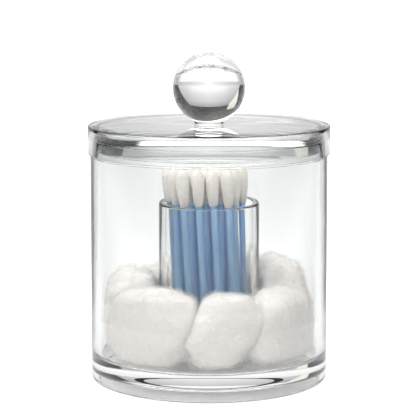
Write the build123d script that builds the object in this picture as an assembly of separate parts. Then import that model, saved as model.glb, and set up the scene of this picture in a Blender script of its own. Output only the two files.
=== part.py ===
from build123d import *
import math
import os

os.makedirs("parts", exist_ok=True)

# Cotton swabs: sizes in millimetres, angles in degrees
SWAB_LENGTH = 73.0
STICK_DIAMETER = 2.5
STICK_BORE = 1.2
BUD_DIAMETER = 4.6
BUD_LENGTH = 15.0
BUD_WIDEST = 5.0  # from the tip to the fattest place
BUD_TIP_RADIUS = 1.7
BUD_TIP = 1.8  # cotton past the end of the stick
BUD_HEM = 0.25  # thickness of the cotton where it runs out on the stick
BUD_SEAT_CLEARANCE = 0.03  # cotton to stick

# How the swabs stand in their cup, in straight rows with every other row half a place along
SWAB_ROWS = 5
SWAB_GAP = 0.8  # between two feet in a row
SWAB_FAN = 0.4  # added between two heads in a row
ROW_GAP = 0.15  # between the buds of two rows
FOOT_CLEARANCE = 0.15  # between the outermost feet and the cup
BUNDLE_FOOT_SHIFT = 1.2  # the feet stand to the right and the heads lean to the left
RIM_CLEARANCE = 0.12  # between the swab that leans furthest and the cup's rim
ROW_SWAY = (0.9, -1.1, 0.1, 1.0, -0.8)  # each row's feet sideways, front row first
STAND_CLEARANCE = 0.1  # foot to floor

# Jar body
BODY_DIAMETER = 93.0
BASE_THICKNESS = 10.0
BASE_EDGE_RADIUS = 1.5
FLOOR_FILLET = 2.0
WALL_DRAFT = 0.7  # the wall grows thicker towards the floor
SWAB_HEADROOM = 12.2  # from the swabs' tops to the jar's rim
SHOULDER_WIDTH = 1.0  # the step that the lid's skirt rests on
NECK_HEIGHT = 6.6
NECK_WALL = 1.4
RIM_RADIUS = 0.4

# Lid, a thick solid plug inside a skirt, with a groove between them for the neck, and its knob
LID_HEADROOM = 3.7  # from the jar's rim to the top of the groove
GROOVE_ROOF = 1.5  # thickness over the groove
LID_CLEARANCE = 0.3  # neck to groove, on both sides
SKIRT_WALL = 1.7
PLUG_LIFT = 1.0  # from the skirt's edge up to the plug's underside
PLUG_DISH = 0.6  # the plug's underside sinks in towards its middle
PLUG_EDGE_RADIUS = 1.2
LID_EDGE_RADIUS = 0.6
SKIRT_EDGE_RADIUS = 0.4
KNOB_DIAMETER = 28.2
KNOB_NECK_DIAMETER = 11.6
KNOB_NECK_HEIGHT = 1.5
KNOB_NECK_FILLET = 0.5

# Cup for the swabs, a tube that stands on the jar's floor
CUP_DIAMETER = 39.7
CUP_WALL = 2.5
CUP_HEIGHT = 59.0
CUP_RIM_RADIUS = 0.7

# Cotton balls in the ring between cup and wall, with azimuths from the front towards the right
COTTON_AZIMUTHS = (-44.0, 8.0, 58.0, 114.0, 165.0, 214.0, 262.0)  # middles
COTTON_SIDE_ANGLES = (-75.0, -12.0, 27.0, 88.0, 140.0, 190.0, 238.0, 285.0)  # where neighbours meet
COTTON_DIAMETERS = (37.0, 34.0, 36.0, 39.0, 37.0, 36.0, 37.0)  # loose
COTTON_LIFTS = (11.8, 12.4, 11.4, 17.4, 14.5, 15.5, 15.0)  # middles above the floor
COTTON_CLEARANCE = 0.3
FRONT_TO_X = 90.0  # azimuth of the X axis

# Heights and radii that follow
floor_height = BASE_THICKNESS
rim_height = floor_height + SWAB_LENGTH + SWAB_HEADROOM
shoulder_height = rim_height - NECK_HEIGHT
groove_top = rim_height + LID_HEADROOM
lid_top = groove_top + GROOVE_ROOF
plug_underside = shoulder_height + PLUG_LIFT
body_radius = BODY_DIAMETER / 2
neck_radius = body_radius - SHOULDER_WIDTH
mouth_radius = neck_radius - NECK_WALL
floor_radius = mouth_radius - (rim_height - floor_height) * math.tan(math.radians(WALL_DRAFT))
skirt_inner_radius = neck_radius + LID_CLEARANCE
plug_radius = mouth_radius - LID_CLEARANCE
lid_radius = skirt_inner_radius + SKIRT_WALL
cup_radius = CUP_DIAMETER / 2
cup_inner_radius = cup_radius - CUP_WALL
cup_rim_height = floor_height + CUP_HEIGHT


def outline(points, rounds):
    """Flat profile from (radius, height) points, with some corners rounded by number."""
    face = make_face(Polyline(*points, close=True))
    for number, radius in rounds:
        corner = face.vertices().sort_by_distance(points[number])[0]
        face = fillet(corner, radius)
    return face


def turned(face):
    """Solid of revolution about the vertical axis from a profile of radii and heights."""
    return revolve(Plane.XZ * face, Axis.Z)


def save(solid, node):
    """Write one node's solid, under the node's name."""
    solid.label = node
    export_step(solid, f"parts/{node}.step")


# Jar body: thick base, drafted wall, shoulder and neck in one moulding
jar_profile = outline(
    [
        (0, 0),
        (body_radius, 0),
        (body_radius, shoulder_height),
        (neck_radius, shoulder_height),
        (neck_radius, rim_height),
        (mouth_radius, rim_height),
        (floor_radius, floor_height),
        (0, floor_height),
    ],
    [(1, BASE_EDGE_RADIUS), (4, RIM_RADIUS), (5, RIM_RADIUS), (6, FLOOR_FILLET)],
)
save(turned(jar_profile), "jar_body")

# Swab cup: an open tube with a rounded rim
cup_profile = outline(
    [
        (cup_inner_radius, floor_height),
        (cup_radius, floor_height),
        (cup_radius, cup_rim_height),
        (cup_inner_radius, cup_rim_height),
    ],
    [(2, CUP_RIM_RADIUS), (3, CUP_RIM_RADIUS)],
)
save(turned(cup_profile), "swab_cup")

# Lid: its skirt rests on the shoulder, and its plug, dished underneath, fills the mouth
lid_profile = outline(
    [
        (0, plug_underside),
        (plug_radius, plug_underside),
        (plug_radius, groove_top),
        (skirt_inner_radius, groove_top),
        (skirt_inner_radius, shoulder_height),
        (lid_radius, shoulder_height),
        (lid_radius, lid_top),
        (0, lid_top),
    ],
    [(1, PLUG_EDGE_RADIUS), (5, SKIRT_EDGE_RADIUS), (6, LID_EDGE_RADIUS)],
)
dish_reach = plug_radius - PLUG_EDGE_RADIUS
dish_radius = (dish_reach**2 + PLUG_DISH**2) / (2 * PLUG_DISH)
plug_dish = Pos(0, plug_underside + PLUG_DISH - dish_radius) * Circle(dish_radius)
save(turned(lid_profile - plug_dish), "lid")

# Lid knob: a ball on a short neck that stands on the lid
knob_radius = KNOB_DIAMETER / 2
knob_neck_radius = KNOB_NECK_DIAMETER / 2
knob_meet = lid_top + KNOB_NECK_HEIGHT
knob_middle = knob_meet + math.sqrt(knob_radius**2 - knob_neck_radius**2)
knob_disc = Pos(0, knob_middle) * Circle(knob_radius)
knob_half = knob_disc & Pos(knob_radius / 2, knob_middle) * Rectangle(knob_radius, KNOB_DIAMETER)
knob_stem = Pos(knob_neck_radius / 2, (lid_top + knob_middle) / 2) * Rectangle(
    knob_neck_radius, knob_middle - lid_top
)
knob_profile = knob_half + knob_stem
knob_corner = knob_profile.vertices().sort_by_distance((knob_neck_radius, knob_meet))[0]
knob_profile = fillet(knob_corner, KNOB_NECK_FILLET)
save(turned(knob_profile), "lid_knob")


# One swab along the vertical axis with its lower tip at the origin
stick_radius = STICK_DIAMETER / 2
bud_radius = BUD_DIAMETER / 2
bud_hole_radius = stick_radius + BUD_SEAT_CLEARANCE
stick_low = BUD_TIP + BUD_SEAT_CLEARANCE
stick_profile = outline(
    [
        (STICK_BORE / 2, stick_low),
        (stick_radius, stick_low),
        (stick_radius, SWAB_LENGTH - stick_low),
        (STICK_BORE / 2, SWAB_LENGTH - stick_low),
    ],
    [],
)
stick = turned(stick_profile)

# Bud profile: a small round tip, a long flank up to the fattest place and a taper down to the hem,
# each arc tangent to the one before
bud_shoulder = bud_radius - BUD_TIP_RADIUS
bud_rise = BUD_WIDEST - BUD_TIP_RADIUS
bud_lean = math.atan2(2 * bud_shoulder * bud_rise, bud_rise**2 - bud_shoulder**2)
bud_meet = (BUD_TIP_RADIUS * math.cos(bud_lean), BUD_TIP_RADIUS * (1 - math.sin(bud_lean)))
bud_hem = (stick_radius + BUD_HEM, BUD_LENGTH)
bud_tip_arc = TangentArc((0, 0), bud_meet, tangent=(1, 0))
bud_flank = TangentArc(bud_meet, (bud_radius, BUD_WIDEST), tangent=(math.sin(bud_lean), math.cos(bud_lean)))
bud_taper = TangentArc((bud_radius, BUD_WIDEST), bud_hem, tangent=(0, 1))
bud_inside = Polyline(bud_hem, (bud_hole_radius, BUD_LENGTH), (bud_hole_radius, BUD_TIP), (0, BUD_TIP), (0, 0))
foot_bud = turned(make_face([bud_tip_arc, bud_flank, bud_taper, bud_inside]))
head_bud = foot_bud.mirror(Plane.XY.offset(SWAB_LENGTH / 2))

# Room in the cup: for the buds at the feet, and for the girth that a swab has at the height of the rim
foot_room = cup_inner_radius - bud_radius - FOOT_CLEARANCE
taper_share = (SWAB_LENGTH - CUP_HEIGHT - BUD_WIDEST) / (BUD_LENGTH - BUD_WIDEST)
taper_share = min(max(taper_share, 0), 1)
girth_at_rim = bud_radius - (bud_radius - stick_radius - BUD_HEM) * taper_share**2
rim_room = cup_inner_radius - girth_at_rim - RIM_CLEARANCE
rim_share = min(CUP_HEIGHT / SWAB_LENGTH, 1)

# The swabs' places: rows from the front to the back, as many in each as the cup has room for
row_pitch = BUD_DIAMETER + ROW_GAP
foot_pitch = BUD_DIAMETER + SWAB_GAP
head_pitch = foot_pitch + SWAB_FAN
rows = []
head_shifts = []
for row in range(SWAB_ROWS):
    step = row - (SWAB_ROWS - 1) / 2
    row_y = step * row_pitch
    foot_shift = BUNDLE_FOOT_SHIFT + ROW_SWAY[row % len(ROW_SWAY)]
    reach = (math.sqrt(max(foot_room**2 - row_y**2, 0)) - abs(foot_shift)) / foot_pitch
    if step % 2 == 0:
        count = 2 * int(max(reach, 0) + 0.5)
    else:
        count = 2 * int(max(reach, 0)) + 1
    rows.append((row_y, foot_shift, count))
    # The lean at which the row's first swab rests on the rim
    left_place = (1 - count) / 2
    left_foot = foot_shift + left_place * foot_pitch
    left_at_rim = -math.sqrt(max(rim_room**2 - row_y**2, 0))
    left_head = left_foot + (left_at_rim - left_foot) / rim_share
    head_shifts.append(left_head - left_place * head_pitch)

# The bundle leans to the left as one, until the first of its rows rests on the rim
head_shift = max(head_shifts)
swab_number = 0
for row_y, foot_shift, count in rows:
    for place in range(count):
        along = place - (count - 1) / 2
        foot_x = foot_shift + along * foot_pitch
        head_x = head_shift + along * head_pitch
        swab_number += 1
        stand = Plane(
            origin=(foot_x, row_y, floor_height + STAND_CLEARANCE),
            x_dir=(0, 1, 0),
            z_dir=(head_x - foot_x, 0, SWAB_LENGTH),
        )
        save(stand * stick, f"swab_{swab_number:02d}_stick")
        save(Compound([stand * foot_bud, stand * head_bud]), f"swab_{swab_number:02d}_buds")

# Cotton balls: each loose ball is squeezed into its own sector of the ring between cup and wall
ring_profile = outline(
    [
        (0, floor_height),
        (floor_radius, floor_height),
        (mouth_radius, rim_height),
        (0, rim_height),
    ],
    [(1, FLOOR_FILLET)],
)
ring_profile = offset(ring_profile, amount=-COTTON_CLEARANCE)
cup_room = 2 * (cup_radius + COTTON_CLEARANCE)
ring_profile = ring_profile - Pos(0, rim_height / 2) * Rectangle(cup_room, 2 * rim_height)
ring_middle = (cup_radius + floor_radius) / 2
side_gap = math.degrees(COTTON_CLEARANCE / 2 / cup_radius)

for number, azimuth in enumerate(COTTON_AZIMUTHS):
    low_side = COTTON_SIDE_ANGLES[number] + side_gap
    high_side = COTTON_SIDE_ANGLES[number + 1] - side_gap
    sector = Rot(0, 0, low_side - FRONT_TO_X) * revolve(Plane.XZ * ring_profile, Axis.Z, high_side - low_side)
    middle = Pos(ring_middle, 0, floor_height + COTTON_LIFTS[number])
    ball = Rot(0, 0, azimuth - FRONT_TO_X) * middle * Sphere(COTTON_DIAMETERS[number] / 2)
    save(ball & sector, f"cotton_ball_{number + 1}")
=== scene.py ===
import math

import bpy
import numpy as np
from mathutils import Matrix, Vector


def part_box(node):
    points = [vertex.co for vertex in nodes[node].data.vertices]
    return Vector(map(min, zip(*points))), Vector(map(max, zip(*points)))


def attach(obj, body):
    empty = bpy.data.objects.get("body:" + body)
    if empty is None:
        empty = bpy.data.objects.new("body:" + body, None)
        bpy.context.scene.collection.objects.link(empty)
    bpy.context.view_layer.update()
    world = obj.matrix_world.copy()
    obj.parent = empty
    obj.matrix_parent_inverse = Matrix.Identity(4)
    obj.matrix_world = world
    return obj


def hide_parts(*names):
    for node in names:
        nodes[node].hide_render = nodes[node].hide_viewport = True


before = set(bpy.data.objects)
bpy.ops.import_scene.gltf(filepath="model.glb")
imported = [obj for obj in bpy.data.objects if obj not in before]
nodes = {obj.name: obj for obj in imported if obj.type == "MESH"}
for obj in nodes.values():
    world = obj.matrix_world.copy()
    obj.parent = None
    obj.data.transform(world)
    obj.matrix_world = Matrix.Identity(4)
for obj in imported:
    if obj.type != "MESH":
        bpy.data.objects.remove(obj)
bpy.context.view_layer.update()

MM = 0.001
WHITE = (1.0, 1.0, 1.0, 1.0)
BLACK = (0.0, 0.0, 0.0, 1.0)
scene = bpy.context.scene

# Camera: a long lens from the front and a little above
CAMERA_PLACE = (0.4 * MM, -759.2 * MM, 182.1 * MM)
CAMERA_PITCH = math.radians(8.65)
CAMERA_LENS = 167.14
CAMERA_SENSOR = 36.0
CAMERA_CLIP = 0.05

# Patterns in the materials. Streaks and fibres are drawn coarser than real ones, which would not show.
ACRYLIC_IOR = 1.49
HAZE_SIZE = 18 * MM
MOULD_WAVE = 22 * MM
MOULD_WAVE_DEPTH = 0.25 * MM
STREAK_WIDTH = 0.9 * MM
STREAK_DRAW = 0.06  # width to length
STREAK_DEPTH = 0.05 * MM
STICK_GLOW = 0.6 * MM
WOOL_CLUMP = 6.0 * MM
WOOL_FIBRE = 0.9 * MM
WOOL_DEPTH = 0.2 * MM
WISP_SIZE = 4.0 * MM
WOUND_CLUMP = 1.1 * MM
WOUND_FIBRE = 0.35 * MM
WOUND_DEPTH = 0.15 * MM

# Cotton wool: billows as (waves round the ball, height as a share of its size, how many)
BALL_SEED = 100
BALL_RINGS = 110
BALL_AROUND = 160
BALL_BILLOWS = ((4.5, 0.11, 5), (8.0, 0.06, 8), (16.0, 0.012, 14), (40.0, 0.003, 24))
BALL_WAVE_SPREAD = (0.7, 1.4)
BALL_SOFTNESS = 0.25
BALL_POWER = 2.3
BALL_POWER_FALL = 0.2  # rounder above than below
BALL_POWER_TURN = 3.0
BALL_SPREAD = 1.08
BALL_OVERLAP = math.radians(2.5)
BALL_WALL_GAP = 0.35 * MM
BALL_TOP_ROOM = 1 / 3
BALL_PRESS = 7.0
# Lobes of the balls that show, as (right, outward, up, height, width), and each ball's own height
BALL_LOBES = {
    1: ((0.75, 0.3, 0.7, 0.28, 0.35), (-0.5, 0.3, 0.8, 0.10, 0.5), (0.1, 0.9, 0.2, 0.08, 0.5)),
    2: (
        (0.25, 0.2, 0.95, 0.14, 0.5),
        (0.8, 0.4, 0.2, 0.12, 0.5),
        (0.8, 0.4, -0.6, -0.22, 0.45),
        (-0.9, 0.4, -0.7, -0.16, 0.4),
    ),
    3: ((-0.7, 0.2, 0.65, 0.16, 0.45), (0.5, 0.3, 0.8, 0.12, 0.45), (0.4, 0.9, 0.1, -0.06, 0.4)),
    4: ((-0.6, 0.1, 0.8, 0.18, 0.3), (0.5, 0.0, 0.85, 0.14, 0.35)),
}
BALL_TOPS = {1: 0.90, 2: 0.90, 3: 0.88, 4: 0.87, 6: 0.84, 7: 0.92}
# How far, in degrees, the top of a ball's left and right side leans over its neighbour
BALL_LEANS = {1: (0.0, 5.0), 2: (5.0, 7.0), 3: (7.0, 0.0)}

# Loose fibres round the cotton wool, as thin shells: (height over the wool, share of fibre in it)
FLUFF_RINGS = 84
FLUFF_AROUND = 120
FLUFF_SHELLS = ((0.6 * MM, 0.50), (1.4 * MM, 0.30), (2.4 * MM, 0.15))

# Wound cotton on the swabs: heights as shares of the girth, waves along a bud in radians
BUD_SEED = 300
BUD_RINGS = 44
BUD_RING_CROWDING = 1.35  # towards the tip
BUD_AROUND = 32
BUD_SHORTEST = 0.94
BUD_NOSE_POWER = 2.2
BUD_TURNS = 10.0
BUD_WINDING = 0.016
BUD_LUMP = 0.03
BUD_LUMP_TWIST = 7.0
BUD_LUMP_WAVES = 9.0
BUD_FLAT_TWIST = 3.0
BUD_CALM_END = 3.0
BUD_SWELL = 1.13
HEM_BAND = 0.05 * MM

# Lid and knob in one: what their boxes don't give
KNOB_NECK_RADIUS = 5.8 * MM
KNOB_FILLET = 0.5 * MM
KNOB_STEPS = 120
SKIRT_WALL = 1.7 * MM
GROOVE_ROOF = 1.5 * MM
PLUG_RADIUS = 43.8 * MM
PLUG_LIFT = 1.0 * MM
PLUG_DISH = 0.6 * MM
PLUG_EDGE_ROUND = 1.2 * MM
LID_EDGE_ROUND = 0.6 * MM
SKIRT_EDGE_ROUND = 0.4 * MM

# Jar and cup in one: what their boxes don't give
SHOULDER_WIDTH = 1.0 * MM
NECK_HEIGHT = 6.6 * MM
NECK_WALL = 1.4 * MM
WALL_DRAFT = math.radians(0.7)
BASE_EDGE_ROUND = 1.5 * MM
RIM_ROUND = 0.4 * MM
FLOOR_ROUND = 2.0 * MM
CUP_ROUND = 0.7 * MM
RECESS_DEPTH = 4.8 * MM
RECESS_ROUND = 1.0 * MM
FOOT_WIDTH = 3.0 * MM
ARC_STEPS = 9
DISH_STEPS = 12
LATHE_AROUND = 288
SHARP_ANGLE = math.radians(35)

# Table
FLOOR_REACH = 1.2
FLOOR_DROP = 0.4 * MM
FOOT_EDGE = 1.5 * MM
DISC_AROUND = 160
UNDER_GLOW = 0.2
# Painted shadow of the jar on the ring round its foot: the ring's glow rises from SHADE_LEVEL at the foot to
# SHADE_END at SHADE_REACH further out
SHADE_REACH = 90 * MM
SHADE_LEVEL = 0.85
SHADE_END = 1.1

# Light of the studio, by angles in degrees from straight behind the jar and from level. An edge starts at the
# first angle and is whole at the second.
ROOM_COLOUR = (0.018, 0.019, 0.021, 1.0)
FILL_COLOUR = (0.90, 0.885, 0.87, 1.0)
FILL_EDGE = (-0.3, -0.7)  # share of the direction that goes away from the camera
LAMP_COLOUR = (4.6, 4.5, 4.4, 1.0)
LAMP_AXIS = (-0.170, -0.205, 0.964)
LAMP_EDGE = (54, 42)  # from the lamp's axis
PANEL_COLOUR = (0.80, 0.78, 0.68, 1.0)
PANEL_LEFT = (-43, -41)
PANEL_RIGHT = (-24, -26)
PANEL_FOOT = (-8, -4)
PANEL_TOP = (26, 22)
BACKDROP_SIDE = (40.5, 38.5)
BACKDROP_SLANT = 0.95
BACKDROP_END = (16.6, 15.8)
TABLE_FAR = (-6.5, -8.5)
TABLE_NEAR = (-11, -13)
TABLE_BELOW = (-22, -34)
STAGE_GAIN = 1.15
GAIN_EDGE = (17, 15)
# Grey levels, as (degrees, level)
BACKDROP_UPWARDS = ((-6, 1.0), (2.7, 0.72), (8.5, 0.60), (13.7, 0.40), (16.5, 0.30))
BACKDROP_SIDEWAYS = ((0, 1.0), (10, 0.93), (19, 0.83), (26, 0.72), (40, 0.60))
FAR_TABLE = ((0, 0.90), (3, 0.86), (6, 0.79), (12, 0.70), (18, 0.65), (26, 0.60), (52, 0.42))
NEAR_TABLE = ((0, 1.0), (38, 1.0), (52, 0.42))
# The backdrop as a wall
BACKDROP_DISTANCE = 1.0
BACKDROP_HEIGHT = 0.44
BACKDROP_REACH = math.radians(75)
BACKDROP_PANELS = 60


def linear(hex_colour):
    """Linear RGBA from an sRGB hex colour."""
    channels = [int(hex_colour[place:place + 2], 16) / 255 for place in (0, 2, 4)]
    flat = [c / 12.92 if c <= 0.04045 else ((c + 0.055) / 1.055) ** 2.4 for c in channels]
    return (*flat, 1.0)


def add_node(tree, kind, inputs=None, **properties):
    """Add one node to a tree: set its properties, and set or link its inputs by name or number."""
    node = tree.nodes.new(kind)
    for name, value in properties.items():
        setattr(node, name, value)
    for name, value in (inputs or {}).items():
        if isinstance(value, bpy.types.NodeSocket):
            tree.links.new(value, node.inputs[name])
        else:
            node.inputs[name].default_value = value
    return node


def new_material(name):
    """An empty node material: its tree, its Principled shader and its Object coordinates."""
    material = bpy.data.materials.new(name)
    material.use_nodes = True
    tree = material.node_tree
    shader = next(node for node in tree.nodes if node.type == "BSDF_PRINCIPLED")
    place = add_node(tree, "ShaderNodeTexCoord").outputs["Object"]
    return material, tree, shader, place


def clear_acrylic():
    """Injection-moulded clear acrylic: polished, with the faint waviness of the mould."""
    material, tree, shader, place = new_material("clear_acrylic")
    shader.inputs["Base Color"].default_value = linear("fdfefe")
    shader.inputs["Transmission Weight"].default_value = 1.0
    shader.inputs["IOR"].default_value = ACRYLIC_IOR
    # Handling leaves the polish a little uneven
    haze = add_node(tree, "ShaderNodeTexNoise", {"Vector": place, "Scale": 1 / HAZE_SIZE, "Detail": 3.0})
    rough = add_node(
        tree,
        "ShaderNodeMapRange",
        {"Value": haze.outputs["Fac"], "To Min": 0.0, "To Max": 0.018},
    )
    wave = add_node(tree, "ShaderNodeTexNoise", {"Vector": place, "Scale": 1 / MOULD_WAVE, "Detail": 1.0})
    bump = add_node(
        tree,
        "ShaderNodeBump",
        {"Height": wave.outputs["Fac"], "Strength": 0.15, "Distance": MOULD_WAVE_DEPTH},
    )
    tree.links.new(rough.outputs["Result"], shader.inputs["Roughness"])
    tree.links.new(bump.outputs["Normal"], shader.inputs["Normal"])
    return material


def stick_plastic():
    """Extruded blue polypropylene tube: fine streaks along the draw and a soft gloss."""
    material, tree, shader, place = new_material("blue_polypropylene")
    drawn = add_node(tree, "ShaderNodeMapping", {"Vector": place, "Scale": (1.0, 1.0, STREAK_DRAW)})
    streak = add_node(
        tree,
        "ShaderNodeTexNoise",
        {"Vector": drawn.outputs["Vector"], "Scale": 1 / STREAK_WIDTH, "Detail": 3.0, "Roughness": 0.6},
    )
    tint = add_node(tree, "ShaderNodeValToRGB", {"Fac": streak.outputs["Fac"]})
    tint.color_ramp.elements[0].position = 0.3
    tint.color_ramp.elements[0].color = linear("9acdff")
    tint.color_ramp.elements[1].position = 0.7
    tint.color_ramp.elements[1].color = linear("b4ddff")
    rough = add_node(
        tree,
        "ShaderNodeMapRange",
        {"Value": streak.outputs["Fac"], "To Min": 0.28, "To Max": 0.46},
    )
    bump = add_node(
        tree,
        "ShaderNodeBump",
        {"Height": streak.outputs["Fac"], "Strength": 0.25, "Distance": STREAK_DEPTH},
    )
    tree.links.new(tint.outputs["Color"], shader.inputs["Base Color"])
    tree.links.new(rough.outputs["Result"], shader.inputs["Roughness"])
    tree.links.new(bump.outputs["Normal"], shader.inputs["Normal"])
    shader.inputs["Subsurface Weight"].default_value = 0.15
    shader.inputs["Subsurface Radius"].default_value = (0.6, 0.8, 1.0)
    shader.inputs["Subsurface Scale"].default_value = STICK_GLOW
    return material


def cotton_material(name, shade, light, clump, fibre, depth):
    """Bleached cotton fibres: matt, with clumps, finer fibres in them, a soft sheen and light inside."""
    material, tree, shader, place = new_material(name)
    clumps = add_node(tree, "ShaderNodeTexNoise", {"Vector": place, "Scale": 1 / clump, "Detail": 4.0})
    fibres = add_node(
        tree,
        "ShaderNodeTexNoise",
        {"Vector": place, "Scale": 1 / fibre, "Detail": 3.0, "Distortion": 1.2},
    )
    tint = add_node(tree, "ShaderNodeValToRGB", {"Fac": clumps.outputs["Fac"]})
    tint.color_ramp.elements[0].position = 0.3
    tint.color_ramp.elements[0].color = linear(shade)
    tint.color_ramp.elements[1].position = 0.62
    tint.color_ramp.elements[1].color = linear(light)
    broad = add_node(
        tree,
        "ShaderNodeBump",
        {"Height": clumps.outputs["Fac"], "Strength": 0.4, "Distance": depth},
    )
    fine = add_node(
        tree,
        "ShaderNodeBump",
        {
            "Height": fibres.outputs["Fac"],
            "Strength": 0.35,
            "Distance": depth / 3,
            "Normal": broad.outputs["Normal"],
        },
    )
    tree.links.new(tint.outputs["Color"], shader.inputs["Base Color"])
    tree.links.new(fine.outputs["Normal"], shader.inputs["Normal"])
    shader.inputs["Roughness"].default_value = 1.0
    shader.inputs["Specular IOR Level"].default_value = 0.1
    shader.inputs["Sheen Weight"].default_value = 0.25
    shader.inputs["Sheen Roughness"].default_value = 0.6
    shader.inputs["Subsurface Weight"].default_value = 0.85
    shader.inputs["Subsurface Radius"].default_value = (1.0, 0.93, 0.88)
    shader.inputs["Subsurface Scale"].default_value = clump
    return material


def fluff_material():
    """Loose cotton fibres: the same white, mostly air, with wisps where the fibres run together."""
    material, tree, shader, place = new_material("loose_cotton_fibres")
    wisps = add_node(
        tree,
        "ShaderNodeTexNoise",
        {"Vector": place, "Scale": 1 / WISP_SIZE, "Detail": 3.0, "Roughness": 0.5, "Distortion": 0.4},
    )
    cover = add_node(tree, "ShaderNodeAttribute", attribute_name="cover")
    thick = add_node(
        tree,
        "ShaderNodeMapRange",
        {"Value": wisps.outputs["Fac"], "From Min": -0.5, "From Max": 0.7},
    )
    alpha = add_node(
        tree,
        "ShaderNodeMath",
        {0: thick.outputs["Result"], 1: cover.outputs["Fac"]},
        operation="MULTIPLY",
    )
    tree.links.new(alpha.outputs[0], shader.inputs["Alpha"])
    shader.inputs["Base Color"].default_value = linear("fbf7f3")
    shader.inputs["Roughness"].default_value = 1.0
    shader.inputs["Specular IOR Level"].default_value = 0.0
    shader.inputs["Sheen Weight"].default_value = 0.2
    shader.inputs["Sheen Roughness"].default_value = 0.7
    return material


def vertex_places(node):
    """All vertex places of a CAD node as an array of rows."""
    mesh = nodes[node].data
    places = np.empty(len(mesh.vertices) * 3)
    mesh.vertices.foreach_get("co", places)
    return places.reshape(-1, 3)


def closed_surface(rings, start_pole, end_pole):
    """Vertices, quads and pole fans of rings in a row, each wrapped round, with a pole at both ends."""
    count, around = rings.shape[:2]
    vertices = np.concatenate([rings.reshape(-1, 3), [start_pole, end_pole]])
    index = np.arange(count * around).reshape(count, around)
    following = np.roll(index, -1, axis=1)
    quads = np.stack([index[:-1], following[:-1], following[1:], index[1:]], axis=-1).reshape(-1, 4)
    start = np.full(around, count * around)
    first_fan = np.stack([start, following[0], index[0]], axis=-1)
    last_fan = np.stack([start + 1, index[-1], following[-1]], axis=-1)
    return vertices, quads, np.concatenate([first_fan, last_fan])


def new_piece(name, surfaces, material, body):
    """One smooth mesh from several closed surfaces, riding on a body."""
    faces = []
    first = 0
    for vertices, quads, fans in surfaces:
        faces += (quads + first).tolist() + (fans + first).tolist()
        first += len(vertices)
    mesh = bpy.data.meshes.new(name)
    mesh.from_pydata(np.concatenate([surface[0] for surface in surfaces]).tolist(), [], faces)
    mesh.shade_smooth()
    mesh.materials.append(material)
    piece = bpy.data.objects.new(name, mesh)
    scene.collection.objects.link(piece)
    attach(piece, body)
    return piece


def soft_piece(name, surfaces, material, node):
    """A padded piece that stands for a soft CAD node of the jar's body."""
    piece = new_piece(name, surfaces, material, "jar")
    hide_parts(node)


def billows(directions, draws, waves, height, count):
    """Round heaps with creases between them: a sum of smoothed absolute sines along random directions."""
    axes = draws.normal(size=(count, 3))
    axes *= waves / np.linalg.norm(axes, axis=1, keepdims=True)
    axes *= draws.uniform(*BALL_WAVE_SPREAD, size=(count, 1))
    phases = draws.uniform(0, 2 * np.pi, size=count)
    heaps = np.sqrt(np.sin(directions @ axes.T / 2 + phases) ** 2 + BALL_SOFTNESS)
    return height * (heaps - heaps.mean()).sum(axis=-1) * 2 / math.sqrt(count)


def lobes(directions, shapes):
    """Sum of single swellings, each falling off round its own direction as a bell."""
    total = np.zeros(directions.shape[:-1])
    for right, outward, up, height, width in shapes:
        axis = np.array((right, outward, up))
        away = 1 - directions @ (axis / np.linalg.norm(axis))
        total += height * np.exp(-away / width**2)
    return total


def pressed(value, low, high):
    """Soft limit: follows the value between the limits and bends over before it reaches one."""
    middle = (low + high) / 2
    half = (high - low) / 2
    share = (value - middle) / half
    return middle + half * share / (1 + np.abs(share) ** BALL_PRESS) ** (1 / BALL_PRESS)


def ball_surface(number, rings, around, over):
    """Cotton ball: a superellipsoid that fills its node's room along the ring, across it and in height,
    with its radius swollen by lobes and billows, bent round the cup and pressed by soft limits into that
    room. A shell over it has a wider radius and meets the same limits."""
    draws = np.random.default_rng(BALL_SEED + number)
    solid = vertex_places(f"cotton_ball_{number}")
    solid_reach = np.hypot(solid[:, 0], solid[:, 1])
    span = solid.max(axis=0) + solid.min(axis=0)
    turned = math.atan2(span[1], span[0])
    solid_turn = np.angle(np.exp(1j * (np.arctan2(solid[:, 1], solid[:, 0]) - turned)))
    low = np.array((solid_turn.min(), solid_reach.min(), solid[:, 2].min()))
    high = np.array((solid_turn.max(), solid_reach.max(), solid[:, 2].max()))
    low[0] -= BALL_OVERLAP
    high[0] += BALL_OVERLAP
    high[1] -= BALL_WALL_GAP
    high[2] = low[2] + (high[2] - low[2]) * BALL_TOPS.get(number, 1.0)
    room = (high - low) / 2

    rise = np.linspace(-np.pi / 2, np.pi / 2, rings + 2)[:, None]
    turn = np.linspace(0, 2 * np.pi, around, endpoint=False)[None, :]
    sides = (np.cos(rise) * np.cos(turn), np.cos(rise) * np.sin(turn), np.sin(rise))
    directions = np.stack(np.broadcast_arrays(*sides), axis=-1)
    power = BALL_POWER - BALL_POWER_FALL * np.tanh(BALL_POWER_TURN * directions[..., 2:])
    size = (np.abs(directions) ** power).sum(axis=-1) ** (-1 / power[..., 0])
    swell = 1 + sum(billows(directions, draws, *shape) for shape in BALL_BILLOWS)
    swell += lobes(directions, BALL_LOBES.get(number, ()))
    swell += over / room[2]
    share = directions * (size * swell * BALL_SPREAD)[..., None]
    left_lean, right_lean = np.radians(BALL_LEANS.get(number, (0.0, 0.0)))
    lean = np.where(share[..., 0] > 0, right_lean, left_lean) * np.clip(np.abs(share[..., 0]), 0, 1)

    loose = low + room * (1 + share)
    azimuth = pressed(loose[..., 0], low[0], high[0]) + turned
    azimuth += lean * np.clip(share[..., 2], -1, 1)
    reach = pressed(loose[..., 1], low[1], high[1])
    height = pressed(loose[..., 2], low[2], high[2] + room[2] * BALL_TOP_ROOM)
    places = np.stack([reach * np.cos(azimuth), reach * np.sin(azimuth), height], axis=-1)
    return closed_surface(places[1:-1], places[0, 0], places[-1, 0])


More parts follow.
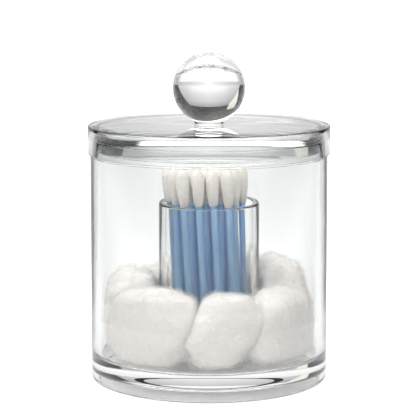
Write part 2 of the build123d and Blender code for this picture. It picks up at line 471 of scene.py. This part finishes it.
def cotton_ball(number, material, fluff):
    """A ball of cotton wool for its node, and shells of loose fibres round it."""
    surface = ball_surface(number, BALL_RINGS, BALL_AROUND, 0.0)
    soft_piece(f"cotton_wool_{number}", [surface], material, f"cotton_ball_{number}")
    shells = [ball_surface(number, FLUFF_RINGS, FLUFF_AROUND, over) for over, cover in FLUFF_SHELLS]
    piece = new_piece(f"cotton_fluff_{number}", shells, fluff, "jar")
    cover = np.repeat([cover for over, cover in FLUFF_SHELLS], len(shells[0][0]))
    piece.data.attributes.new("cover", "FLOAT", "POINT").data.foreach_set("value", cover)
    # Light passes between the fibres
    piece.visible_shadow = False
    piece.visible_diffuse = False


def wound_bud(tip, along, draws, sizes):
    """Bud on one end of a swab: a round tip, a swell and a long taper to the hem as rings along the stick,
    with a helical winding and low lumps on it, then back along the stick to close the form."""
    length, widest, radius, hem, bore, seat = sizes
    share = np.linspace(0, 1, BUD_RINGS + 1)[1:, None] ** BUD_RING_CROWDING
    turn = np.linspace(0, 2 * np.pi, BUD_AROUND, endpoint=False)[None, :]
    reach = share * length * draws.uniform(BUD_SHORTEST, 1.0)
    nose = np.clip(1 - reach / widest, 0, 1)
    fall = np.clip((reach - widest) / (length - widest), 0, 1)
    full = radius * BUD_SWELL
    girth = full * np.sqrt(1 - nose**BUD_NOSE_POWER) - (full - hem) * fall**2
    phase = draws.uniform(0, 2 * np.pi, size=4)
    winding = BUD_WINDING * np.sin(2 * np.pi * BUD_TURNS * share + turn + phase[0])
    lump = BUD_LUMP * np.sin(2 * turn + BUD_LUMP_TWIST * share + phase[1])
    lump = lump * np.sin(BUD_LUMP_WAVES * share + phase[2])
    flat = BUD_LUMP * np.sin(turn + BUD_FLAT_TWIST * share + phase[3])
    calm = np.clip(BUD_CALM_END * (1 - share), 0, 1)
    girth = girth * (1 + (winding + lump + flat) * calm - BUD_LUMP / 2)
    reach = reach + 0 * turn

    inner = np.full((1, BUD_AROUND), bore)
    girth = np.concatenate([girth, inner, inner])
    reach = np.concatenate([reach, reach[-1:], np.full((1, BUD_AROUND), seat)])
    side = np.cross(along, (0, 1, 0))
    side /= np.linalg.norm(side)
    front = np.cross(along, side)
    across = np.cos(turn)[..., None] * side + np.sin(turn)[..., None] * front
    rings = tip + reach[..., None] * along + girth[..., None] * across
    return closed_surface(rings, tip, tip + seat * along)


def swab_cotton(number, material):
    """The two wound buds of one swab, placed by the ends of its stick and sized by its CAD buds."""
    stick = vertex_places(f"swab_{number:02d}_stick")
    buds = vertex_places(f"swab_{number:02d}_buds")
    low_half = stick[:, 2] < stick[:, 2].mean()
    low_end = (stick[low_half].min(axis=0) + stick[low_half].max(axis=0)) / 2
    high_end = (stick[~low_half].min(axis=0) + stick[~low_half].max(axis=0)) / 2
    along = (high_end - low_end) / np.linalg.norm(high_end - low_end)
    reach = (buds - low_end) @ along
    girth = np.linalg.norm(buds - low_end - reach[:, None] * along, axis=1)
    low_tip = reach.min()
    low_bud = reach < reach.mean()
    hem_place = reach[low_bud].max()
    fattest = girth[low_bud].max()
    at_hem = girth[low_bud & (reach > hem_place - HEM_BAND)]
    widest = reach[low_bud][girth[low_bud].argmax()] - low_tip
    sizes = (hem_place - low_tip, widest, fattest, at_hem.max(), at_hem.min(), -low_tip)
    draws = np.random.default_rng(BUD_SEED + number)
    surfaces = [
        wound_bud(low_end + low_tip * along, along, draws, sizes),
        wound_bud(high_end - low_tip * along, -along, draws, sizes),
    ]
    soft_piece(f"swab_{number:02d}_cotton", surfaces, material, f"swab_{number:02d}_buds")


def rounded_profile(points, rounds):
    """Radii and heights along a profile of straight lines, with arcs of a given radius at some corners."""
    places = []
    for number, corner in enumerate(points):
        radius = rounds.get(number)
        if radius is None:
            places.append(corner)
            continue
        back = points[number - 1] - corner
        ahead = points[number + 1] - corner
        back = back / np.linalg.norm(back)
        ahead = ahead / np.linalg.norm(ahead)
        middle = corner + radius * (back + ahead)
        share = np.linspace(0, np.pi / 2, ARC_STEPS)[:, None]
        places += list(middle - radius * (ahead * np.cos(share) + back * np.sin(share)))
    return np.array(places)


def turned_piece(name, profile, start, end, material, body):
    """Clear piece of rings round the axis, one for each (radius, height) of a profile between two poles."""
    turn = np.linspace(0, 2 * np.pi, LATHE_AROUND, endpoint=False)
    radii = profile[:, :1]
    heights = np.broadcast_to(profile[:, 1:], (len(profile), LATHE_AROUND))
    rings = np.stack([radii * np.cos(turn), radii * np.sin(turn), heights], axis=-1)
    surface = closed_surface(rings, (0, 0, start), (0, 0, end))
    piece = new_piece(name, [surface], material, body)
    piece.data.set_sharp_from_angle(angle=SHARP_ANGLE)
    return piece


def lid_with_knob(material):
    """Lid and knob as one turned form, because the cement between them leaves no air: rings round the axis
    along a profile from the top of the ball by the neck, the lid's edge, the skirt, the groove and the
    plug to the middle of the dished underside."""
    lid_low, lid_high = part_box("lid")
    knob_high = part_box("lid_knob")[1]
    ball_radius = knob_high[0]
    ball_middle = knob_high[2] - ball_radius
    # The neck's fillet touches the neck and the ball
    fillet_out = KNOB_NECK_RADIUS + KNOB_FILLET
    fillet_drop = math.sqrt((ball_radius + KNOB_FILLET) ** 2 - fillet_out**2)
    fillet_height = ball_middle - fillet_drop
    meet = math.atan2(fillet_out, -fillet_drop)
    turn = np.linspace(0, meet, KNOB_STEPS)[1:]
    ball = np.stack([ball_radius * np.sin(turn), ball_middle + ball_radius * np.cos(turn)], axis=-1)
    turn = np.linspace(meet - np.pi, -np.pi / 2, ARC_STEPS)[1:]
    waist_radii = fillet_out + KNOB_FILLET * np.sin(turn)
    waist = np.stack([waist_radii, fillet_height + KNOB_FILLET * np.cos(turn)], axis=-1)

    lid_radius = lid_high[0]
    skirt_radius = lid_radius - SKIRT_WALL
    plug_low = lid_low[2] + PLUG_LIFT
    groove_top = lid_high[2] - GROOVE_ROOF
    corners = np.array(
        [
            (KNOB_NECK_RADIUS, lid_high[2]),
            (lid_radius, lid_high[2]),
            (lid_radius, lid_low[2]),
            (skirt_radius, lid_low[2]),
            (skirt_radius, groove_top),
            (PLUG_RADIUS, groove_top),
            (PLUG_RADIUS, plug_low),
            (0.0, plug_low),
        ]
    )
    rounds = {1: LID_EDGE_ROUND, 2: SKIRT_EDGE_ROUND, 6: PLUG_EDGE_ROUND}
    cap = rounded_profile(corners, rounds)[:-1]
    reach = PLUG_RADIUS - PLUG_EDGE_ROUND
    radii = np.linspace(reach, 0, DISH_STEPS)[1:-1]
    dish = np.stack([radii, plug_low + PLUG_DISH * (1 - (radii / reach) ** 2)], axis=-1)
    profile = np.concatenate([ball, waist, cap, dish])[::-1]
    piece = turned_piece("lid_with_knob", profile, plug_low + PLUG_DISH, knob_high[2], material, "lid")
    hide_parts("lid", "lid_knob")


def jar_with_cup(material):
    """Jar and cup as one turned form, because the cement under the cup leaves no air: rings round the axis
    along a profile from the middle of the recessed underside by the foot, the outside wall, the neck, the
    inside wall and the cup to the middle of the floor."""
    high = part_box("jar_body")[1]
    cup_low, cup_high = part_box("swab_cup")
    cup = vertex_places("swab_cup")
    cup_bore = np.hypot(cup[:, 0], cup[:, 1]).min()
    cup_radius = cup_high[0]
    body_radius = high[0]
    floor = cup_low[2]
    shoulder = high[2] - NECK_HEIGHT
    neck_radius = body_radius - SHOULDER_WIDTH
    mouth_radius = neck_radius - NECK_WALL
    floor_radius = mouth_radius - (high[2] - floor) * math.tan(WALL_DRAFT)
    foot_radius = body_radius - FOOT_WIDTH
    corners = np.array(
        [
            (0.0, RECESS_DEPTH),
            (foot_radius, RECESS_DEPTH),
            (foot_radius, 0.0),
            (body_radius, 0.0),
            (body_radius, shoulder),
            (neck_radius, shoulder),
            (neck_radius, high[2]),
            (mouth_radius, high[2]),
            (floor_radius, floor),
            (cup_radius, floor),
            (cup_radius, cup_high[2]),
            (cup_bore, cup_high[2]),
            (cup_bore, floor),
        ]
    )
    rounds = {
        1: RECESS_ROUND,
        3: BASE_EDGE_ROUND,
        6: RIM_ROUND,
        7: RIM_ROUND,
        8: FLOOR_ROUND,
        10: CUP_ROUND,
        11: CUP_ROUND,
    }
    profile = rounded_profile(corners, rounds)[1:]
    piece = turned_piece("jar_with_cup", profile, RECESS_DEPTH, floor, material, "jar")
    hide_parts("jar_body", "swab_cup")


def stage_piece(name, places, faces, material):
    """A piece of the stage from vertex places and faces."""
    mesh = bpy.data.meshes.new(name)
    mesh.from_pydata(places, [], faces)
    mesh.materials.append(material)
    piece = bpy.data.objects.new(name, mesh)
    scene.collection.objects.link(piece)
    return piece


def glowing_material(name):
    """A matt material for the stage that gives white light: its tree, shader and Object coordinates."""
    material, tree, shader, place = new_material(name)
    shader.inputs["Base Color"].default_value = BLACK
    shader.inputs["Roughness"].default_value = 1.0
    shader.inputs["Specular IOR Level"].default_value = 0.0
    shader.inputs["Emission Color"].default_value = WHITE
    return material, tree, shader, place


def white_floor():
    """Plain white table, lit from inside so that it leaves no edge and next to no shadow."""
    material, tree, shader, place = glowing_material("white_table")
    shade = add_node(tree, "ShaderNodeTexNoise", {"Vector": place, "Scale": 4.0})
    glow = add_node(
        tree,
        "ShaderNodeMapRange",
        {"Value": shade.outputs["Fac"], "To Min": 0.99, "To Max": 1.0},
    )
    shader.inputs["Base Color"].default_value = (0.2, 0.2, 0.2, 1.0)
    tree.links.new(glow.outputs["Result"], shader.inputs["Emission Strength"])
    corners = [
        (-FLOOR_REACH, -FLOOR_REACH, -FLOOR_DROP),
        (FLOOR_REACH, -FLOOR_REACH, -FLOOR_DROP),
        (FLOOR_REACH, FLOOR_REACH, -FLOOR_DROP),
        (-FLOOR_REACH, FLOOR_REACH, -FLOOR_DROP),
    ]
    floor = stage_piece("floor", corners, [(0, 1, 2, 3)], material)
    # The light that the table throws back comes from the studio below, so only the camera meets the plane
    floor.visible_diffuse = False
    floor.visible_glossy = False
    floor.visible_transmission = False


def shaded_table():
    """The round of table under the jar, which the base and the cotton keep the light from, and a ring round
    it, which the picture shows only through the base, with a painted soft shadow of the jar: its glow is
    weakest next to the foot and rises outwards."""
    low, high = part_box("jar_body")
    radius = (high[0] - low[0]) / 2 - FOOT_EDGE
    turn = np.linspace(0, 2 * np.pi, DISC_AROUND, endpoint=False)
    heights = np.full(DISC_AROUND, -FLOOR_DROP / 2)
    circle = np.stack([radius * np.cos(turn), radius * np.sin(turn), heights], axis=-1)

    material, tree, shader, place = glowing_material("table_under_jar")
    shade = add_node(tree, "ShaderNodeTexNoise", {"Vector": place, "Scale": 4.0})
    tint = add_node(
        tree,
        "ShaderNodeMapRange",
        {"Value": shade.outputs["Fac"], "To Min": 0.78, "To Max": 0.8},
    )
    tree.links.new(tint.outputs["Result"], shader.inputs["Base Color"])
    shader.inputs["Emission Strength"].default_value = UNDER_GLOW
    stage_piece("table_under_jar", circle.tolist(), [list(range(DISC_AROUND))], material)

    # The ring's glow is a painted shadow of the jar: weaker next to the foot, rising outwards
    material, tree, shader, place = glowing_material("painted_shadow_round_jar")
    away = add_node(tree, "ShaderNodeVectorMath", {0: place}, operation="LENGTH")
    glow = add_node(
        tree,
        "ShaderNodeMapRange",
        {
            "Value": away.outputs["Value"],
            "From Min": radius,
            "From Max": radius + SHADE_REACH,
            "To Min": SHADE_LEVEL,
            "To Max": SHADE_END,
        },
    )
    tree.links.new(glow.outputs["Result"], shader.inputs["Emission Strength"])
    wider = 1 + SHADE_REACH / radius
    rings = np.concatenate([circle, circle * (wider, wider, 1)])
    index = np.arange(DISC_AROUND)
    following = np.roll(index, -1)
    faces = np.stack([index, index + DISC_AROUND, following + DISC_AROUND, following], axis=-1)
    ring = stage_piece("painted_shadow_round_jar", rings.tolist(), faces.tolist(), material)
    ring.visible_camera = False


def light_by_direction(tree, direction):
    """Colour and strength of the studio's light along a direction, as layers one over the other: a dark room,
    a pale wall behind the camera, a broad lamp overhead, a cream panel at the left, a low backdrop that
    dims upwards and sideways, and a white table. Each edge is a smooth step of an angle."""
    axes = add_node(tree, "ShaderNodeSeparateXYZ", {"Vector": direction}).outputs
    lamp = add_node(tree, "ShaderNodeVectorMath", {0: direction, 1: LAMP_AXIS}, operation="DOT_PRODUCT")
    azimuth = add_node(tree, "ShaderNodeMath", {0: axes["X"], 1: axes["Y"]}, operation="ARCTAN2").outputs[0]
    height = add_node(tree, "ShaderNodeMath", {0: axes["Z"]}, operation="ARCSINE").outputs[0]
    aside = add_node(tree, "ShaderNodeMath", {0: azimuth}, operation="ABSOLUTE").outputs[0]
    slant = add_node(
        tree,
        "ShaderNodeMath",
        {0: height, 1: BACKDROP_SLANT, 2: aside},
        operation="MULTIPLY_ADD",
    ).outputs[0]

    edges = {
        "fill": (axes["Y"], FILL_EDGE),
        "lamp": (lamp.outputs["Value"], np.cos(np.radians(LAMP_EDGE))),
        "panel": (azimuth, np.radians(PANEL_LEFT)),
        "panel_right": (azimuth, np.radians(PANEL_RIGHT)),
        "panel_foot": (height, np.radians(PANEL_FOOT)),
        "panel_top": (height, np.radians(PANEL_TOP)),
        "backdrop": (slant, np.radians(BACKDROP_SIDE)),
        "backdrop_end": (height, np.radians(BACKDROP_END)),
        "table_far": (height, np.radians(TABLE_FAR)),
        "table_near": (height, np.radians(TABLE_NEAR)),
        "table_below": (height, np.radians(TABLE_BELOW)),
        "gain": (height, np.radians(GAIN_EDGE)),
    }
    masks = {}
    for name, (value, (start, end)) in edges.items():
        inputs = {"Value": value, "From Min": start, "From Max": end}
        step = add_node(tree, "ShaderNodeMapRange", inputs, interpolation_type="SMOOTHSTEP")
        masks[name] = step.outputs["Result"]
    limits = (
        ("panel", "panel_right"),
        ("panel", "panel_foot"),
        ("panel", "panel_top"),
        ("backdrop", "backdrop_end"),
    )
    for name, limit in limits:
        both = add_node(tree, "ShaderNodeMath", {0: masks[name], 1: masks[limit]}, operation="MULTIPLY")
        masks[name] = both.outputs[0]

    greys = {
        "upwards": (height, BACKDROP_UPWARDS),
        "sideways": (aside, BACKDROP_SIDEWAYS),
        "far": (aside, FAR_TABLE),
        "near": (aside, NEAR_TABLE),
    }
    levels = {}
    for name, (value, stops) in greys.items():
        angles = np.radians([angle for angle, level in stops])
        inputs = {"Value": value, "From Min": angles[0], "From Max": angles[-1]}
        share = add_node(tree, "ShaderNodeMapRange", inputs)
        grey = add_node(tree, "ShaderNodeValToRGB", {"Fac": share.outputs["Result"]})
        marks = grey.color_ramp.elements
        for angle in angles[1:-1]:
            marks.new((angle - angles[0]) / (angles[-1] - angles[0]))
        for mark, (angle, level) in zip(marks, stops):
            mark.color = (level, level, level, 1.0)
        levels[name] = grey.outputs["Color"]
    backdrop = add_node(
        tree,
        "ShaderNodeVectorMath",
        {0: levels["upwards"], 1: levels["sideways"]},
        operation="MULTIPLY",
    ).outputs[0]

    layers = (
        ("fill", FILL_COLOUR),
        ("lamp", LAMP_COLOUR),
        ("panel", PANEL_COLOUR),
        ("backdrop", backdrop),
        ("table_far", levels["far"]),
        ("table_near", levels["near"]),
        ("table_below", WHITE),
    )
    colour = ROOM_COLOUR
    for name, layer in layers:
        over = add_node(tree, "ShaderNodeMix", {0: masks[name], 6: colour, 7: layer}, data_type="RGBA")
        colour = over.outputs[2]
    strength = add_node(
        tree,
        "ShaderNodeMapRange",
        {"Value": masks["gain"], "To Min": 1.0, "To Max": STAGE_GAIN},
    )
    return colour, strength.outputs["Result"]


def studio():
    """Far light from the world, with a plain white background in the picture itself."""
    world = bpy.data.worlds.new("studio")
    scene.world = world
    world.use_nodes = True
    tree = world.node_tree
    background = next(node for node in tree.nodes if node.type == "BACKGROUND")
    direction = add_node(tree, "ShaderNodeTexCoord").outputs["Generated"]
    colour, strength = light_by_direction(tree, direction)
    camera_ray = add_node(tree, "ShaderNodeLightPath").outputs["Is Camera Ray"]
    seen = add_node(tree, "ShaderNodeMix", {0: camera_ray, 6: colour, 7: WHITE}, data_type="RGBA")
    tree.links.new(seen.outputs[2], background.inputs["Color"])
    tree.links.new(strength, background.inputs["Strength"])


def near_backdrop():
    """The backdrop as a glowing wall bent round behind the jar, with the light that the knob meets from
    there, so that lower pieces look at it under steeper angles. The picture itself doesn't show it."""
    low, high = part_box("lid_knob")
    knob_middle = (0.0, 0.0, (low[2] + high[2]) / 2)
    material, tree, shader, place = glowing_material("backdrop")
    from_knob = add_node(tree, "ShaderNodeVectorMath", {0: place, 1: knob_middle}, operation="SUBTRACT")
    direction = add_node(tree, "ShaderNodeVectorMath", {0: from_knob.outputs[0]}, operation="NORMALIZE")
    colour, strength = light_by_direction(tree, direction.outputs[0])
    tree.links.new(colour, shader.inputs["Emission Color"])
    tree.links.new(strength, shader.inputs["Emission Strength"])
    turn = np.linspace(-BACKDROP_REACH, BACKDROP_REACH, BACKDROP_PANELS + 1)
    foot = BACKDROP_DISTANCE * np.stack([np.sin(turn), np.cos(turn), 0 * turn], axis=-1)
    places = np.concatenate([foot, foot + (0, 0, BACKDROP_HEIGHT)])
    index = np.arange(BACKDROP_PANELS)
    above = index + len(turn)
    faces = np.stack([index, index + 1, above + 1, above], axis=-1)
    wall = stage_piece("backdrop", places.tolist(), faces.tolist(), material)
    wall.data.shade_smooth()
    wall.visible_camera = False


def camera():
    """The photograph's camera."""
    lens = bpy.data.cameras.new("camera")
    lens.lens = CAMERA_LENS
    lens.sensor_width = CAMERA_SENSOR
    lens.clip_start = CAMERA_CLIP
    stand = bpy.data.objects.new("camera", lens)
    stand.location = CAMERA_PLACE
    stand.rotation_euler = (math.pi / 2 - CAMERA_PITCH, 0, 0)
    scene.collection.objects.link(stand)
    scene.camera = stand


def light_paths():
    """Enough bounces for light to pass all the walls, and white that stays white."""
    cycles = scene.cycles
    cycles.max_bounces = 28
    cycles.transmission_bounces = 28
    cycles.glossy_bounces = 8
    cycles.diffuse_bounces = 5
    cycles.transparent_max_bounces = 32
    cycles.caustics_refractive = True
    cycles.caustics_reflective = True
    cycles.sample_clamp_indirect = 6.0
    cycles.use_denoising = True
    scene.view_settings.view_transform = "Standard"


acrylic = clear_acrylic()
stick_blue = stick_plastic()
wool = cotton_material("cotton_wool", "f3f0ed", "f8f6f4", WOOL_CLUMP, WOOL_FIBRE, WOOL_DEPTH)
fluff = fluff_material()
wound = cotton_material("wound_cotton", "ebe6e0", "f4f1ec", WOUND_CLUMP, WOUND_FIBRE, WOUND_DEPTH)

sticks = [name for name in nodes if name.endswith("_stick")]
balls = [name for name in nodes if name.startswith("cotton_ball_")]
for stick in sticks:
    nodes[stick].data.materials.clear()
    nodes[stick].data.materials.append(stick_blue)
for number in range(1, 1 + len(balls)):
    cotton_ball(number, wool, fluff)
for number in range(1, 1 + len(sticks)):
    swab_cotton(number, wound)
lid_with_knob(acrylic)
jar_with_cup(acrylic)

white_floor()
shaded_table()
studio()
near_backdrop()
camera()
light_paths()
